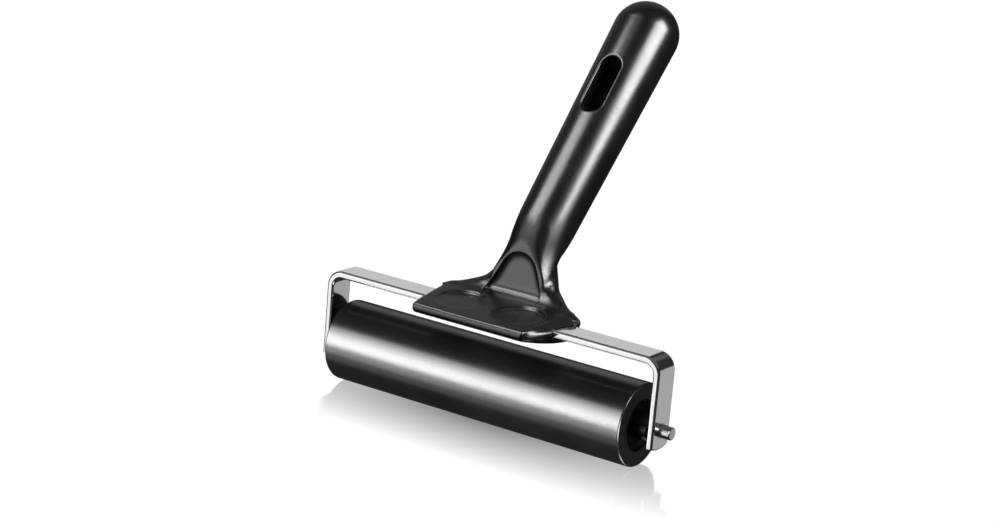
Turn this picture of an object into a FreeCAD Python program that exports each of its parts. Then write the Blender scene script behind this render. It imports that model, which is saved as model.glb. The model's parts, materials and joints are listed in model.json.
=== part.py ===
# Rubber brayer: a roller that spins on a steel axle between the arms of a bent strip frame,
# with a moulded handle round the frame's top bar.
#
# Each piece is drawn about the roller's middle: X runs along the axle, Y to the back, where the
# grip leans, and Z up. All pieces then share one placement, which puts the origin on the surface
# that the roller stands on, under the middle of the object's outline.

import FreeCAD, Part
import Sketcher
import os

from FreeCAD import Placement, Rotation, Vector

DIMENSIONS = {
    # roller
    "roller_length": 150.0,
    "roller_radius": 17.75,
    "roller_edge": 0.5,          # chamfer round the rubber's ends
    "core_radius": 11.2,
    "core_bore": 9.0,
    "flange_sink": 0.7,          # end plug's face, inside the rubber's end
    "flange_thickness": 2.6,
    "spigot_length": 12.0,
    "dish_rim": 1.0,             # flat ring round the dish in the plug's face
    "dish_slope": 1.8,
    "dish_depth": 1.5,
    "bush_radius": 5.6,
    "bush_inner_reach": 4.0,     # bush beyond the spigot, towards the middle
    "bush_end_float": 0.4,
    "running_gap": 0.05,
    # axle
    "axle_reach_left": 1.4,      # past the frame's arms
    "axle_reach_right": 5.2,
    "axle_radius": 3.0,          # between the arms and in their holes
    "axle_end_radius": 2.75,     # outside the arms
    "axle_edge": 0.6,
    # frame
    "frame_width": 168.8,
    "bar_top": 31.2,             # above the axle
    "strip_thickness": 3.2,
    "strip_width": 13.0,
    "bend_radius": 7.4,          # outside of the bend
    "arm_drop": 6.8,             # arm's corners, below the axle
    "arm_end_radius": 15.8,
    # head of the handle, round the bar
    "rim_front": 21.6,           # in front of the axle
    "rim_low": 28.9,
    "rim_high": 32.2,
    "rim_round": 1.4,
    "rim_half_width": 28.2,
    "deck_back": 12.0,
    "deck_back_high": 34.5,
    "deck_slope": 4.5,           # degrees
    "head_half_width": 35.6,
    "ridge_half_width": 30.8,
    "head_back": 10.5,
    "belly_low": 23.3,
    "belly_front": 2.5,
    "belly_round": 4.0,
    "dimple_radius": 10.9,
    "dimple_spacing": 28.8,
    "dimple_front": 5.0,
    "dimple_depth": 1.2,
    # grip, along its own leaning axis
    "grip_lean": 41.5,           # degrees
    "grip_foot": 5.9,            # where its axis crosses the top of the bar
    "grip_start": 40.0,
    "grip_end": 142.6,           # centre of the domed end
    "grip_edge": 0.5,            # step in at the grip's start, inside the neck
    "grip_edge_length": 2.0,
    "neck_radius": 13.0,
    "dome_radius": 15.0,
    "slot_middle": 106.7,
    "slot_length": 28.6,
    "slot_width": 10.2,
    # scoop for the finger on the front of the neck
    "scoop_plane": 12.6,         # behind the axle
    "scoop_low": 37.0,
    "scoop_high": 53.5,
    "scoop_low_half": 13.0,
    "scoop_high_half": 4.0,
}

# Oval sections of the neck, from the deck up to the grip: centre back from the axle, height,
# lean in degrees, half width and half depth.
NECK = {
    "neck_base": (9.0, 33.4, 0.0, 31.0, 3.6),
    "neck_low": (14.6, 37.0, 2.0, 22.0, 5.6),
    "neck_waist": (19.2, 41.5, 6.0, 16.8, 8.2),
    "neck_mid": (22.6, 47.5, 14.0, 14.0, 10.4),
    "neck_high": (26.4, 54.2, 28.0, 13.2, 12.0),
}

SHEET = "Dimensions"
NEARLY_ROUND = 1.001             # an ellipse in a sketch has a longer axis, so a round section has a hair


class Size:
    """A length or an angle with its value and the sheet formula that it comes from."""

    def __init__(self, value, formula):
        self.value = float(value)
        self.formula = str(formula)

    def combine(self, other, sign, result):
        text = other.formula if isinstance(other, Size) else repr(float(other))
        return Size(result, "(%s %s %s)" % (self.formula, sign, text))

    def __add__(self, other):
        return self.combine(other, "+", self.value + number(other))

    def __sub__(self, other):
        return self.combine(other, "-", self.value - number(other))

    def __mul__(self, other):
        return self.combine(other, "*", self.value * number(other))

    def __truediv__(self, other):
        return self.combine(other, "/", self.value / number(other))

    def __neg__(self):
        return Size(-self.value, "(-1 * %s)" % self.formula)


def number(size):
    return size.value if isinstance(size, Size) else float(size)


def sine(angle):
    turn = Rotation(Vector(0, 0, 1), angle.value)
    return Size(turn.multVec(Vector(1, 0, 0)).y, "sin(%s)" % angle.formula)


def cosine(angle):
    turn = Rotation(Vector(0, 0, 1), angle.value)
    return Size(turn.multVec(Vector(1, 0, 0)).x, "cos(%s)" % angle.formula)


ZERO = Size(0.0, "0")
doc = FreeCAD.newDocument("rubber_brayer")
sheet = doc.addObject("Spreadsheet::Sheet", SHEET)
row = 0


def add_cell(alias, value):
    """Writes one driving dimension in the sheet and returns it."""
    global row
    row += 1
    sheet.set("A%d" % row, alias)
    sheet.set("B%d" % row, str(value))
    sheet.setAlias("B%d" % row, alias)
    return Size(value, "%s.%s" % (SHEET, alias))


dim = {}
for alias, value in DIMENSIONS.items():
    dim[alias] = add_cell(alias, value)
neck = {}
for alias, values in NECK.items():
    fields = ("back", "height", "lean", "half_width", "half_depth")
    neck[alias] = {field: add_cell("%s_%s" % (alias, field), value) for field, value in zip(fields, values)}
doc.recompute()

half_roller = dim["roller_length"] / 2
half_frame = dim["frame_width"] / 2
half_strip = dim["strip_width"] / 2
bar_bottom = dim["bar_top"] - dim["strip_thickness"]
lean = dim["grip_lean"]
dome_back = dim["grip_foot"] + dim["grip_end"] * sine(lean)
object_middle = (dome_back + dim["dome_radius"] - dim["rim_front"]) / 2
side_middle = (dim["axle_reach_right"] - dim["axle_reach_left"]) / 2


# ---------------------------------------------------------------- drawing helpers

def new_body(label):
    """A body whose placement moves the roller's middle to its place in the object's own frame."""
    body = doc.addObject("PartDesign::Body", label)
    body.Label = label
    body.setExpression("Placement.Base.x", "-1 * %s" % side_middle.formula)
    body.setExpression("Placement.Base.y", "-1 * %s" % object_middle.formula)
    body.setExpression("Placement.Base.z", dim["roller_radius"].formula)
    return body


def new_sketch(body, name, plane, shift=(ZERO, ZERO, ZERO), turn_axis=None, turn=None):
    """A sketch on one of the body's own origin planes, moved and turned in the plane's own axes."""
    sketch = body.newObject("Sketcher::SketchObject", name)
    support = [item for item in body.Origin.OriginFeatures if item.Role == plane][0]
    sketch.AttachmentSupport = [(support, "")]
    sketch.MapMode = "FlatFace"
    base = Vector(*[part.value for part in shift])
    rotation = Rotation(turn_axis, turn.value) if turn is not None else Rotation()
    sketch.AttachmentOffset = Placement(base, rotation)
    for axis, part in zip("xyz", shift):
        if part is not ZERO:
            sketch.setExpression("AttachmentOffset.Base.%s" % axis, part.formula)
    if turn is not None:
        sketch.setExpression("AttachmentOffset.Rotation.Angle", turn.formula)
    return sketch


def constrain(sketch, kind, *args, size=None):
    """Adds a constraint, tied to the sheet where it has a size."""
    if size is None:
        return sketch.addConstraint(Sketcher.Constraint(kind, *args))
    index = sketch.addConstraint(Sketcher.Constraint(kind, *args, size.value))
    sketch.setExpression("Constraints[%d]" % index, size.formula)
    return index


def pin_point(sketch, curve, end, across, up):
    """Fixes a curve's end (1 start, 2 end, 3 centre) at a distance from the sketch's origin."""
    for kind, size, axis in (("DistanceX", across, -2), ("DistanceY", up, -1)):
        if size is ZERO:
            constrain(sketch, "PointOnObject", curve, end, axis)
        else:
            constrain(sketch, kind, -1, 1, curve, end, size=size)


def draw_outline(sketch, points):
    """A closed outline of straight lines through the points."""
    corners = [Vector(across.value, up.value, 0) for across, up in points]
    count = len(corners)
    for index in range(count):
        sketch.addGeometry(Part.LineSegment(corners[index], corners[(index + 1) % count]))
    for index, (across, up) in enumerate(points):
        constrain(sketch, "Coincident", index, 2, (index + 1) % count, 1)
        pin_point(sketch, index, 1, across, up)
    return sketch


def draw_oval(sketch, half_width, half_depth):
    """An ellipse about the sketch's origin, wider along the sketch's X axis."""
    ellipse = Part.Ellipse(Vector(half_width.value, 0, 0), Vector(0, half_depth.value, 0), Vector(0, 0, 0))
    sketch.addGeometry(ellipse)
    sketch.exposeInternalGeometry(0)
    constrain(sketch, "Coincident", 0, 3, -1, 1)
    constrain(sketch, "PointOnObject", 1, 2, -1)
    constrain(sketch, "Distance", 1, size=half_width * 2)
    constrain(sketch, "Distance", 2, size=half_depth * 2)
    return sketch


def add_feature(body, kind, name, sketch, **settings):
    """A solid feature of a sketch; settings that are sizes are tied to the sheet."""
    feature = body.newObject("PartDesign::" + kind, name)
    feature.Profile = sketch
    for key, setting in settings.items():
        if isinstance(setting, Size):
            setattr(feature, key, setting.value)
            feature.setExpression(key, setting.formula)
        else:
            setattr(feature, key, setting)
    return feature


def cut_through(body, name, sketch):
    """A pocket right through the body, both ways from its sketch."""
    return add_feature(body, "Pocket", name, sketch, Type="ThroughAll", Midplane=True)


def edges_along(shape, direction, place, tolerance=0.05):
    """Names of the straight edges that run along a direction and pass the place test."""
    names = []
    for index, edge in enumerate(shape.Edges, start=1):
        if len(edge.Vertexes) != 2:
            continue
        start, end = edge.Vertexes[0].Point, edge.Vertexes[1].Point
        run = end - start
        if abs(abs(run.dot(direction)) - run.Length) < tolerance and place((start + end) / 2):
            names.append("Edge%d" % index)
    return names


def round_edges(body, name, base, names, radius):
    fillet = body.newObject("PartDesign::Fillet", name)
    fillet.Base = (base, names)
    fillet.Radius = radius.value
    fillet.setExpression("Radius", radius.formula)
    return fillet


# ---------------------------------------------------------------- roller and axle

def turned_piece(label, outline):
    """A piece turned about the axle's line, from an outline of (along the axle, radius) points."""
    body = new_body(label)
    sketch = draw_outline(new_sketch(body, label + "_outline", "XZ_Plane"), outline)
    along_axle = (sketch, ["H_Axis"])
    add_feature(body, "Revolution", label + "_turned", sketch, ReferenceAxis=along_axle, Angle=360.0)
    return body


def make_rubber_sleeve():
    """The rubber round the core, as long as the roller, with its end edges chamfered."""
    edge = dim["roller_edge"]
    shoulder = dim["roller_radius"] - edge
    turned_piece("rubber_sleeve", [
        (-half_roller, dim["core_radius"]),
        (-half_roller, shoulder),
        (edge - half_roller, dim["roller_radius"]),
        (half_roller - edge, dim["roller_radius"]),
        (half_roller, shoulder),
        (half_roller, dim["core_radius"]),
    ])


def make_core_tube():
    """The tube that carries the rubber, between the two plugs' flanges."""
    end = half_roller - dim["flange_sink"] - dim["flange_thickness"]
    turned_piece("core_tube", [
        (-end, dim["core_bore"]),
        (-end, dim["core_radius"]),
        (end, dim["core_radius"]),
        (end, dim["core_bore"]),
    ])


def make_end_pieces(side, sign):
    """An end plug, pressed into the core tube, and the bush in it, which also spaces the roller."""
    face = half_roller - dim["flange_sink"]
    shoulder = face - dim["flange_thickness"]
    spigot_end = shoulder - dim["spigot_length"]
    dish_outer = dim["core_radius"] - dim["dish_rim"]
    turned_piece(side + "_end_plug", [
        (spigot_end * sign, dim["bush_radius"]),
        (spigot_end * sign, dim["core_bore"]),
        (shoulder * sign, dim["core_bore"]),
        (shoulder * sign, dim["core_radius"]),
        (face * sign, dim["core_radius"]),
        (face * sign, dish_outer),
        ((face - dim["dish_depth"]) * sign, dish_outer - dim["dish_slope"]),
        ((face - dim["dish_depth"]) * sign, dim["bush_radius"]),
    ])
    bore = dim["axle_radius"] + dim["running_gap"]
    inner = spigot_end - dim["bush_inner_reach"]
    outer = half_frame - dim["strip_thickness"] - dim["bush_end_float"]
    turned_piece(side + "_bush", [
        (inner * sign, bore),
        (inner * sign, dim["bush_radius"]),
        (outer * sign, dim["bush_radius"]),
        (outer * sign, bore),
    ])


def make_axle():
    """A rod pressed into both arms, with slimmer ends: one almost flush, one that stands out."""
    left = half_frame + dim["axle_reach_left"]
    right = half_frame + dim["axle_reach_right"]
    edge = dim["axle_edge"]
    radius = dim["axle_end_radius"]
    turned_piece("axle", [
        (-left, ZERO),
        (-left, radius - edge),
        (edge - left, radius),
        (-half_frame, radius),
        (-half_frame, dim["axle_radius"]),
        (half_frame, dim["axle_radius"]),
        (half_frame, radius),
        (right - edge, radius),
        (right, radius - edge),
        (right, ZERO),
    ])


# ---------------------------------------------------------------- frame

def make_frame():
    """A flat strip bent into a U, with rounded arm ends and a hole for the axle in each arm."""
    body = new_body("frame")
    inner = half_frame - dim["strip_thickness"]
    foot = -(dim["arm_drop"] * 2)
    outline = draw_outline(new_sketch(body, "frame_outline", "XZ_Plane"), [
        (-half_frame, foot),
        (-half_frame, dim["bar_top"]),
        (half_frame, dim["bar_top"]),
        (half_frame, foot),
        (inner, foot),
        (inner, bar_bottom),
        (-inner, bar_bottom),
        (-inner, foot),
    ])
    strip = add_feature(body, "Pad", "frame_strip", outline, Length=dim["strip_width"], Midplane=True)
    doc.recompute()

    width, near = Vector(0, 1, 0), 0.01
    top, outer_x, inner_x = dim["bar_top"].value, half_frame.value, inner.value
    outside = edges_along(strip.Shape, width, lambda p: abs(p.z - top) < near and abs(p.x) > outer_x - near)
    bent = round_edges(body, "outside_bends", strip, outside, dim["bend_radius"])
    doc.recompute()
    low = bar_bottom.value
    inside = edges_along(bent.Shape, width, lambda p: abs(p.z - low) < near and abs(abs(p.x) - inner_x) < near)
    round_edges(body, "inside_bends", bent, inside, dim["bend_radius"] - dim["strip_thickness"])

    ends = new_sketch(body, "arm_end_outline", "YZ_Plane")
    draw_arm_end_cut(ends)
    cut_through(body, "rounded_arm_ends", ends)

    hole = new_sketch(body, "axle_hole_outline", "YZ_Plane")
    hole.addGeometry(Part.Circle(Vector(0, 0, 0), Vector(0, 0, 1), dim["axle_radius"].value))
    constrain(hole, "Coincident", 0, 3, -1, 1)
    constrain(hole, "Radius", 0, size=dim["axle_radius"])
    cut_through(body, "axle_holes", hole)


def draw_arm_end_cut(sketch):
    """What is cut off below the arms: a box whose top is the arc of the arm's end."""
    radius = dim["arm_end_radius"]
    side, corner, bottom = half_strip.value, -dim["arm_drop"].value, -3 * dim["arm_drop"].value
    rise = (radius.value ** 2 - side ** 2) ** 0.5
    low_point = Vector(0, corner + rise - radius.value, 0)
    arc = Part.Arc(Vector(-side, corner, 0), low_point, Vector(side, corner, 0))
    sketch.addGeometry(arc)
    corners = [(side, corner), (side, bottom), (-side, bottom), (-side, corner)]
    for start, end in zip(corners, corners[1:]):
        sketch.addGeometry(Part.LineSegment(Vector(*start, 0), Vector(*end, 0)))
    for line in (1, 2):
        constrain(sketch, "Coincident", line, 2, line + 1, 1)
    constrain(sketch, "Coincident", 0, 2, 1, 1)
    constrain(sketch, "Coincident", 0, 1, 3, 2)
    pin_point(sketch, 1, 1, half_strip, -dim["arm_drop"])
    pin_point(sketch, 2, 1, half_strip, dim["arm_drop"] * -3)
    pin_point(sketch, 3, 1, -half_strip, dim["arm_drop"] * -3)
    pin_point(sketch, 3, 2, -half_strip, -dim["arm_drop"])
    constrain(sketch, "Radius", 0, size=radius)


# ---------------------------------------------------------------- handle

def make_handle():
    """One moulding: a head round the bar with a flat deck in front, a neck and a leaning grip."""
    body = new_body("handle")
    make_head(body)
    make_neck(body)
    make_grip(body)
    cut_bar_tunnel(body)
    cut_dimples(body)
    cut_scoop(body)
    cut_hanging_slot(body)
    return body


def make_head(body):
    profile = draw_outline(new_sketch(body, "head_profile", "YZ_Plane"), [
        (-dim["rim_front"], dim["rim_low"]),
        (-dim["rim_front"], dim["rim_high"]),
        (dim["deck_back"], dim["deck_back_high"]),
        (dim["head_back"], dim["belly_low"]),
        (-dim["belly_front"], dim["belly_low"]),
    ])
    block = add_feature(body, "Pad", "head_block", profile, Length=dim["head_half_width"] * 2, Midplane=True)
    doc.recompute()

    front = -dim["rim_front"].value
    rim = edges_along(block.Shape, Vector(1, 0, 0), lambda p: abs(p.y - front) < 0.01)
    rounded = round_edges(body, "rim_rounding", block, rim, dim["rim_round"])
    doc.recompute()
    low = dim["belly_low"].value
    belly = edges_along(rounded.Shape, Vector(1, 0, 0), lambda p: abs(p.z - low) < 0.01)
    round_edges(body, "belly_rounding", rounded, belly, dim["belly_round"])

    beyond = dim["head_half_width"] + 5
    for side, sign in (("left", -1), ("right", 1)):
        plan = draw_outline(new_sketch(body, side + "_taper_plan", "XY_Plane"), [
            (dim["rim_half_width"] * sign, -dim["rim_front"]),
            (dim["head_half_width"] * sign, dim["head_back"]),
            (beyond * sign, dim["head_back"]),
            (beyond * sign, -(dim["rim_front"] + 5)),
            (dim["rim_half_width"] * sign, -(dim["rim_front"] + 5)),
        ])
        cut_through(body, side + "_taper", plan)
        slope = draw_outline(new_sketch(body, side + "_shoulder_profile", "XZ_Plane"), [
            (dim["ridge_half_width"] * sign, dim["deck_back_high"]),
            (dim["head_half_width"] * sign, dim["bar_top"]),
            (beyond * sign, dim["bar_top"]),
            (beyond * sign, dim["deck_back_high"] + 5),
            (dim["ridge_half_width"] * sign, dim["deck_back_high"] + 5),
        ])
        cut_through(body, side + "_shoulder", slope)


def make_neck(body):
    """A loft through the oval neck sections and a last one, round, just inside the grip."""
    sections = []
    for name, part in neck.items():
        shift = (ZERO, part["back"], part["height"])
        sketch = new_sketch(body, name, "XY_Plane", shift, Vector(-1, 0, 0), part["lean"])
        sections.append(draw_oval(sketch, part["half_width"], part["half_depth"]))
    end = dim["grip_start"] + dim["grip_edge_length"]
    radius = dim["neck_radius"] - dim["grip_edge"] / 2
    shift = (ZERO, dim["grip_foot"] + end * sine(lean), dim["bar_top"] + end * cosine(lean))
    top = new_sketch(body, "neck_top", "XY_Plane", shift, Vector(-1, 0, 0), lean)
    sections.append(draw_oval(top, radius * NEARLY_ROUND, radius))
    add_feature(body, "AdditiveLoft", "neck", sections[0], Sections=sections[1:])


def make_grip(body):
    """The tapered round grip and its domed end, turned about the leaning axis."""
    shift = (dim["grip_foot"], dim["bar_top"], ZERO)
    sketch = new_sketch(body, "grip_outline", "YZ_Plane", shift, Vector(0, 0, -1), lean)
    start, end = dim["grip_start"], dim["grip_end"]
    thin, thick = dim["neck_radius"], dim["dome_radius"]
    points = [
        (ZERO, start),
        (thin - dim["grip_edge"], start),
        (thin, start + dim["grip_edge_length"]),
        (thick, end),
    ]
    corners = [Vector(across.value, up.value, 0) for across, up in points]
    for first, second in zip(corners, corners[1:]):
        sketch.addGeometry(Part.LineSegment(first, second))
    tip = Vector(0, end.value + thick.value, 0)
    middle = Vector(thick.value * 0.6, end.value + thick.value * 0.8, 0)
    sketch.addGeometry(Part.Arc(corners[-1], middle, tip))
    sketch.addGeometry(Part.LineSegment(tip, corners[0]))
    for curve, (across, up) in enumerate(points):
        constrain(sketch, "Coincident", curve, 2, curve + 1, 1)
        pin_point(sketch, curve, 1, across, up)
    constrain(sketch, "Coincident", 4, 2, 0, 1)
    pin_point(sketch, 3, 3, ZERO, end)
    constrain(sketch, "PointOnObject", 3, 2, -2)
    add_feature(body, "Revolution", "grip", sketch, ReferenceAxis=(sketch, ["V_Axis"]), Angle=360.0)


def cut_bar_tunnel(body):
    tunnel = draw_outline(new_sketch(body, "bar_tunnel_profile", "YZ_Plane"), [
        (-half_strip, bar_bottom),
        (half_strip, bar_bottom),
        (half_strip, dim["bar_top"]),
        (-half_strip, dim["bar_top"]),
    ])
    cut_through(body, "bar_tunnel", tunnel)


def cut_dimples(body):
    """Two shallow round dimples side by side in the deck."""
    rise = (dim["deck_back_high"] - dim["rim_high"]) / (dim["deck_back"] + dim["rim_front"])
    height = dim["rim_high"] + rise * (dim["rim_front"] - dim["dimple_front"])
    shift = (ZERO, -dim["dimple_front"], height)
    sketch = new_sketch(body, "dimple_plan", "XY_Plane", shift, Vector(1, 0, 0), dim["deck_slope"])
    for index, sign in enumerate((-1, 1)):
        across = dim["dimple_spacing"] / 2 * sign
        centre, normal = Vector(across.value, 0, 0), Vector(0, 0, 1)
        sketch.addGeometry(Part.Circle(centre, normal, dim["dimple_radius"].value))
        pin_point(sketch, index, 3, across, ZERO)
        constrain(sketch, "Radius", index, size=dim["dimple_radius"])
    add_feature(body, "Pocket", "dimples", sketch, Length=dim["dimple_depth"])


def cut_scoop(body):
    """A tapered flat on the front of the neck, cut forward from its own plane."""
    shift = (ZERO, ZERO, -dim["scoop_plane"])
    sketch = draw_outline(new_sketch(body, "scoop_outline", "XZ_Plane", shift), [
        (-dim["scoop_low_half"], dim["scoop_low"]),
        (dim["scoop_low_half"], dim["scoop_low"]),
        (dim["scoop_high_half"], dim["scoop_high"]),
        (-dim["scoop_high_half"], dim["scoop_high"]),
    ])
    add_feature(body, "Pocket", "scoop", sketch, Length=dim["scoop_plane"], Reversed=True)


def cut_hanging_slot(body):
    """A slot with round ends, straight through the grip from front to back."""
    back = dim["grip_foot"] + dim["slot_middle"] * sine(lean)
    height = dim["bar_top"] + dim["slot_middle"] * cosine(lean)
    sketch = new_sketch(body, "slot_outline", "XZ_Plane", (ZERO, height, -back), Vector(-1, 0, 0), lean)
    radius = dim["slot_width"] / 2
    reach = dim["slot_length"] / 2 - radius
    across, up = radius.value, reach.value
    centres = (Vector(0, up, 0), Vector(0, -up, 0))
    sketch.addGeometry(Part.Arc(Vector(across, up, 0), Vector(0, up + across, 0), Vector(-across, up, 0)))
    sketch.addGeometry(Part.LineSegment(Vector(-across, up, 0), Vector(-across, -up, 0)))
    sketch.addGeometry(Part.Arc(Vector(-across, -up, 0), Vector(0, -up - across, 0), Vector(across, -up, 0)))
    sketch.addGeometry(Part.LineSegment(Vector(across, -up, 0), Vector(across, up, 0)))
    for curve in range(4):
        constrain(sketch, "Tangent", curve, 2, (curve + 1) % 4, 1)
    pin_point(sketch, 0, 3, ZERO, reach)
    pin_point(sketch, 2, 3, ZERO, -reach)
    constrain(sketch, "Radius", 0, size=radius)
    cut_through(body, "hanging_slot", sketch)


# ---------------------------------------------------------------- build, check and write

make_frame()
make_handle()
make_axle()
make_rubber_sleeve()
make_core_tube()
for side, sign in (("left", -1), ("right", 1)):
    make_end_pieces(side, sign)
doc.recompute()

faults = [item.Name for item in doc.Objects if "Invalid" in item.State or "Error" in item.State]
bodies = [item for item in doc.Objects if item.TypeId == "PartDesign::Body"]
for body in bodies:
    if body.Shape.isNull() or not body.Shape.isValid() or len(body.Shape.Solids) != 1:
        faults.append(body.Label)
if faults:
    raise RuntimeError("these objects failed: " + ", ".join(faults))

os.makedirs("parts", exist_ok=True)
for body in bodies:
    body.Shape.exportStep("parts/%s.step" % body.Label)
    print("%-16s volume %9.1f mm3" % (body.Label, body.Shape.Volume))
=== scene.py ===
# Rubber brayer: the looks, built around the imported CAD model.
#
# The core tube stays a CAD node with its own material. The handle and the bent strip frame are
# meshed from distance functions, and the rubber, plugs, bushes and axle are turned meshes. They
# have the CAD model's sizes, with rounded edges added.

import json
import math

import bpy
import numpy as np
from mathutils import Matrix, Vector

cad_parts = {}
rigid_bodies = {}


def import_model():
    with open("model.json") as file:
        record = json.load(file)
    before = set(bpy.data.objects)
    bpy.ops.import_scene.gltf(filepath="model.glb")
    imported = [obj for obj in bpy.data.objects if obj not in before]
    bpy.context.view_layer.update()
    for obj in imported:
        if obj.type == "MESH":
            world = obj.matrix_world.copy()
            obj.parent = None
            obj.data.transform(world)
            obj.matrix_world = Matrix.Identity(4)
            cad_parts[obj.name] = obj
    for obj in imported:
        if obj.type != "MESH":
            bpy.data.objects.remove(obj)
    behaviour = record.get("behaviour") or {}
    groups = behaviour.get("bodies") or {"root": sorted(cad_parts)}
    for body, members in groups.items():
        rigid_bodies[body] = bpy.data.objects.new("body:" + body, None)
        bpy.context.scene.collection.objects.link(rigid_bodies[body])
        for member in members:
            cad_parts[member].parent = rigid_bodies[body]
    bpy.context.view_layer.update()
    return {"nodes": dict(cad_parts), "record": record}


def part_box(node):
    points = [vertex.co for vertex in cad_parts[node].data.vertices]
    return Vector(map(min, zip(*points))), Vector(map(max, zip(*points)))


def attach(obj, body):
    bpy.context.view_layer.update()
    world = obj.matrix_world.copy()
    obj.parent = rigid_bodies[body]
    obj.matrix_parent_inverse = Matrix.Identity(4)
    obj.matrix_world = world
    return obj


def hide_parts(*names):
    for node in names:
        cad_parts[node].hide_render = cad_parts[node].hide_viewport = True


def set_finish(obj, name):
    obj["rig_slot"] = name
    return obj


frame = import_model()

MM = 0.001
rubber_low, rubber_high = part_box("rubber_sleeve")
ROLLER_MIDDLE = (rubber_low + rubber_high) / 2


# ---------------------------------------------------------------- sizes
#
# Lengths are in millimetres. Places are measured from the roller's middle: x along the axle, y to
# the back and z up.

# The roller and its axle.
HALF_ROLLER, ROLLER_RADIUS, CORE_RADIUS = 75.0, 17.75, 11.2
FLANGE_SINK, FLANGE_THICKNESS = 0.7, 2.6             # an end plug's flange, inside the rubber's end
SPIGOT_LENGTH, SPIGOT_RADIUS = 12.0, 9.0
DISH_RIM, DISH_SLOPE, DISH_DEPTH = 1.0, 1.8, 1.5     # the dish in a plug's face
BUSH_RADIUS, BUSH_BORE, BUSH_INNER_REACH, BUSH_END_FLOAT = 5.6, 3.05, 4.0, 0.4
AXLE_RADIUS, AXLE_END_RADIUS, AXLE_REACH_LEFT, AXLE_REACH_RIGHT = 3.0, 2.75, 1.4, 5.2

# The frame: a flat strip bent into a U. The handle's head sits round its top bar.
HALF_FRAME, BAR_TOP, BAR_HALF = 84.4, 31.2, 6.5
STRIP_THICKNESS, OUTER_BEND, STRIP_EDGE = 3.2, 7.4, 1.2
ARM_END_Z, ARM_END_RADIUS = 7.6, 15.8
HOLE_GAP = 0.02                                      # round the axle, in the arm
BAR_BOTTOM = BAR_TOP - STRIP_THICKNESS

# The handle's head: the deck on top, the front rim, the keel-like belly, the back, the shoulders
# that fall away outside a ridge on the deck, and the tapered ends.
DECK_FRONT, DECK_FRONT_HIGH, DECK_RISE = -19.6, 32.2, 0.079
RIM_FRONT, RIM_LOW = -21.8, 28.0
BELLY_FRONT, BELLY_LOW = -0.5, 23.3
HEAD_BACK, HEAD_BACK_LEAN = 10.5, 0.13
RIDGE_HALF, RIDGE_SPREAD = 27.75, 0.105
SHOULDER_SLOPE, SHOULDER_RIM_SLOPE, SHOULDER_FADE = 0.62, 5.0, 2.4
END_HALF, END_FRONT, END_LENGTH = 35.6, -21.0, 29.8
END_TAPER, END_CURVE, END_LIMIT, END_UNDERCUT = 6.9, 2.2, 1.2, 0.3
TUNNEL_GAP = 0.12                                    # round the bar, in the head

# The neck's foot in level ovals: height, middle (back from the axle), half width, and how far the
# oval reaches to the front and to the back of its middle. Above them the neck is the grip's own cone.
NECK_SECTIONS = [
    (33.0, 8.6, 35.1, 1.5, 2.4),
    (34.2, 9.5, 32.3, 2.3, 4.4),
    (35.6, 12.1, 26.9, 3.4, 7.0),
    (37.0, 14.5, 22.8, 4.2, 9.0),
    (39.0, 16.9, 18.3, 5.8, 10.5),
    (41.5, 19.2, 15.9, 7.4, 10.5),
    (46.0, 22.4, 12.8, 9.5, 9.5),
    (50.0, 24.7, 10.8, 9.0, 8.0),
    (56.0, 28.0, 7.0, 6.0, 5.0),
    (62.0, 33.0, 3.5, 3.0, 3.0),
]
OVAL_FRONT_POWER, OVAL_BACK_POWER = 2.0, 2.3         # 2 is an ellipse, and more is squarer
NECK_FOOT = 33.2                                     # the height of the neck's lower end
FRONT_FILLET, BACK_FILLET, FILLET_CHANGE = 4.0, 1.0, 6.0     # where the cone meets the foot

# The heel: a slanting face with a round section, which cuts the cone off above the head's back.
HEEL_Y, HEEL_Z, HEEL_SLOPE, HEEL_ROUND = 35.5, 50.9, 1.65, 0.047

# The neck's flanks are flatter than the cone: how far out each one is, by height, along FLANK_TURN.
FLANKS = [
    (37.0, 9.5), (39.0, 6.2), (41.5, 4.0), (44.0, 2.4), (46.0, 1.2),
    (50.0, -0.9), (55.7, -2.7), (60.7, -3.6), (66.0, -4.4), (71.0, -5.0),
]
FLANK_TURN = math.radians(33)
FAR_INSIDE = -9.0

# The neck's flat front leans back, and sweeps forward onto the deck: by FRONT_FLARE at the height
# FLARE_FOOT, and by less above it. Its edges are sharp at the foot and soft from EDGE_LOW upwards.
FRONT_Y, FRONT_Z, FRONT_LEAN = 14.9, 45.0, 0.115
FRONT_FLARE, FRONT_FADE, FLARE_FOOT, FLARE_LOW = 4.4, 2.6, 35.4, 33.0
EDGE_LOW, EDGE_CHANGE, EDGE_SHARP, EDGE_SOFTER = 46.0, 18.0, 0.6, 5.5

# The finger scoop in the neck's front: a triangle with a round top. Under it a notch leaves a lip.
SCOOP_TOP_Z, SCOOP_TOP_RADIUS = 44.2, 8.9
SCOOP_SIDE_OUT, SCOOP_SIDE_UP = 0.903, 0.430         # the direction that the scoop's side faces
SCOOP_DEPTH, SCOOP_WALL, SCOOP_FLARE, SCOOP_FADE = 1.1, 4.0, 1.4, 1.0
LIP_Z, LIP_HALF, LIP_BACK, LIP_END_LEAN = 35.9, 13.0, 13.1, 0.5

# The dimples in the deck. Their floor meets the deck at DIMPLE_FRONT and rises less than it does.
DIMPLE_X, DIMPLE_Y, DIMPLE_RADIUS = 14.4, -4.85, 10.9
DIMPLE_FRONT, DIMPLE_RISE = -15.6, 0.012

# The grip, along its own leaning axis, and its hanging slot.
GRIP_LEAN = math.radians(41.5)
GRIP_FOOT = 5.9                                      # where the axis crosses the top of the bar
GRIP_START, GRIP_START_RADIUS, GRIP_END, GRIP_END_RADIUS = 40.0, 12.77, 142.6, 15.0
SLOT_MIDDLE, SLOT_HALF_LENGTH, SLOT_RADIUS = 106.7, 14.3, 5.1


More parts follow.
